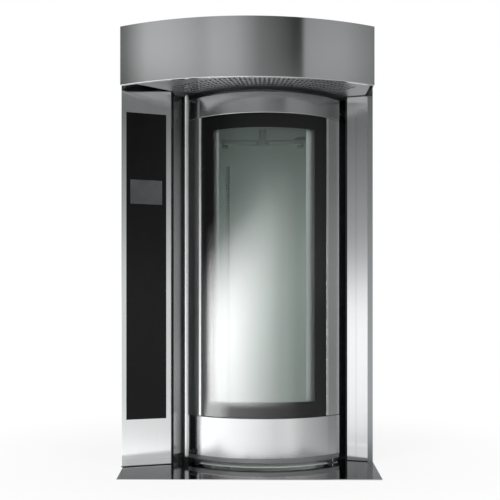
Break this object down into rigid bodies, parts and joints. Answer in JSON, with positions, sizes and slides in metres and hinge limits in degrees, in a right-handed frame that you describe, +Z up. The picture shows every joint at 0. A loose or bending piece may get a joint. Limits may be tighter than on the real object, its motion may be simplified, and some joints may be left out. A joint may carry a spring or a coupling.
{
  "type": "speed oven",
  "caption": "Walk-up rotating-rack baking oven with a round chamber, a curved glazed door that turns about it, a slotted hood canopy and a side control column.",
  "frame": {"origin": "middle of the bounding box at floor level", "axes": "+Z up, the door faces -Y, +X to the right as seen from the front"},
  "size_m": [1.364, 1.58, 2.34],
  "materials": {
    "brushed_stainless": "brushed satin",
    "polished_stainless": "polished, slightly mottled",
    "cabinet_stainless": "fine brushed",
    "chamber_stainless": "heat-dulled satin",
    "galvanised_sheet": "dull zinc grey",
    "frame_steel": "matt dark grey paint",
    "clear_glass": "clear, faint green",
    "black_glass": "glossy black",
    "black_border": "fired black enamel, gloss",
    "display_grey": "satin grey screen",
    "handle_chrome": "polished tube",
    "black_rubber": "matt",
    "sill_aluminium": "dull mill finish",
    "mineral_wool": "fibrous",
    "machined_steel": "machined",
    "cast_steel": "rough cast",
    "motor_paint": "semi-gloss paint",
    "fitting_brass": "plain brass",
    "black_plastic": "matt",
    "lamp_glass": "frosted"
  },
  "bodies": {
    "oven": {"base_tray": "galvanised_sheet", "threshold_plate": "polished_stainless", "cabinet_frame": "frame_steel", "side_panel_left": "cabinet_stainless", "side_panel_right": "cabinet_stainless", "rear_panel": "cabinet_stainless", "roof_cover": "cabinet_stainless", "canopy_fascia": "brushed_stainless", "hood_soffit": "polished_stainless", "hood_back_wall": "galvanised_sheet", "hood_collar": "galvanised_sheet", "control_column": "brushed_stainless", "control_glass": "black_glass", "display_panel": "display_grey", "controller_box": "galvanised_sheet", "door_jamb": "cabinet_stainless", "strike_post": "black_plastic", "pocket_column": "brushed_stainless", "pocket_seal": "black_rubber", "chamber_wall": "chamber_stainless", "chamber_skin": "galvanised_sheet", "insulation": "mineral_wool", "doorway_frame": "chamber_stainless", "doorway_gasket": "black_rubber", "chamber_floor": "chamber_stainless", "chamber_ceiling": "chamber_stainless", "machine_deck": "galvanised_sheet", "air_panel": "chamber_stainless", "chamber_lamps": "lamp_glass", "door_track": "machined_steel", "bottom_guide": "machined_steel", "heat_casing": "chamber_stainless", "heater_cage": "machined_steel", "steam_generator": "cast_steel", "water_inlet": "fitting_brass", "cable_gland": "black_plastic", "fan_motor": "motor_paint", "guide_posts": "machined_steel", "lift_actuator": "motor_paint", "flue_pipe": "galvanised_sheet"},
    "door": {"door_sill_strip": "sill_aluminium", "door_bottom_band": "brushed_stainless", "door_top_band": "brushed_stainless", "door_stiles": "brushed_stainless", "door_trims": "handle_chrome", "door_outer_glass": "clear_glass", "glass_border": "black_border", "door_liner": "chamber_stainless", "inner_glass": "clear_glass", "door_handle_bar": "handle_chrome", "roller_hangers": "machined_steel"},
    "roller_left": {"roller_left": "black_plastic"},
    "roller_right": {"roller_right": "black_plastic"},
    "rack_lift": {"lift_carriage": "machined_steel", "rack_gearmotor": "motor_paint"},
    "rack_carrier": {"rack_hook": "machined_steel", "driven_gear": "machined_steel"},
    "drive_pinion": {"drive_pinion": "machined_steel"},
    "fan": {"fan_wheel": "chamber_stainless"},
    "damper": {"damper_disc": "chamber_stainless"}
  },
  "joints": [
    {"name": "door_turn", "type": "hinge", "parent": "oven", "child": "door", "pos_m": [0.088, 0.045, 1], "axis": [0, 0, 1], "range_deg": [0, 90]},
    {"name": "roller_left", "type": "hinge", "parent": "door", "child": "roller_left", "pos_m": [-0.21706, -0.37488, 1.9273], "axis": [-0.5878, -0.809, 0], "range_deg": [-2124, 0]},
    {"name": "roller_right", "type": "hinge", "parent": "door", "child": "roller_right", "pos_m": [0.39306, -0.37488, 1.9273], "axis": [0.5878, -0.809, 0], "range_deg": [-2124, 0]},
    {"name": "rack_lift", "type": "slide", "parent": "oven", "child": "rack_lift", "axis": [0, 0, 1], "range_m": [0, 0.025]},
    {"name": "rack_spin", "type": "hinge", "parent": "rack_lift", "child": "rack_carrier", "pos_m": [0.088, 0.045, 2], "axis": [0, 0, 1], "continuous": true},
    {"name": "pinion_spin", "type": "hinge", "parent": "rack_lift", "child": "drive_pinion", "pos_m": [0.2105, 0.045, 2.08], "axis": [0, 0, 1], "continuous": true},
    {"name": "fan_spin", "type": "hinge", "parent": "oven", "child": "fan", "pos_m": [-0.4, 0.545, 1.72], "axis": [0, 0, 1], "continuous": true},
    {"name": "damper_turn", "type": "hinge", "parent": "oven", "child": "damper", "pos_m": [0.348, 0.275, 2.106], "axis": [1, 0, 0], "range_deg": [0, 90]}
  ],
  "couplings": [
    {"joint": "roller_left", "follows": "door_turn", "ratio": -23.591},
    {"joint": "roller_right", "follows": "door_turn", "ratio": -23.591},
    {"joint": "pinion_spin", "follows": "rack_spin", "ratio": -4}
  ]
}
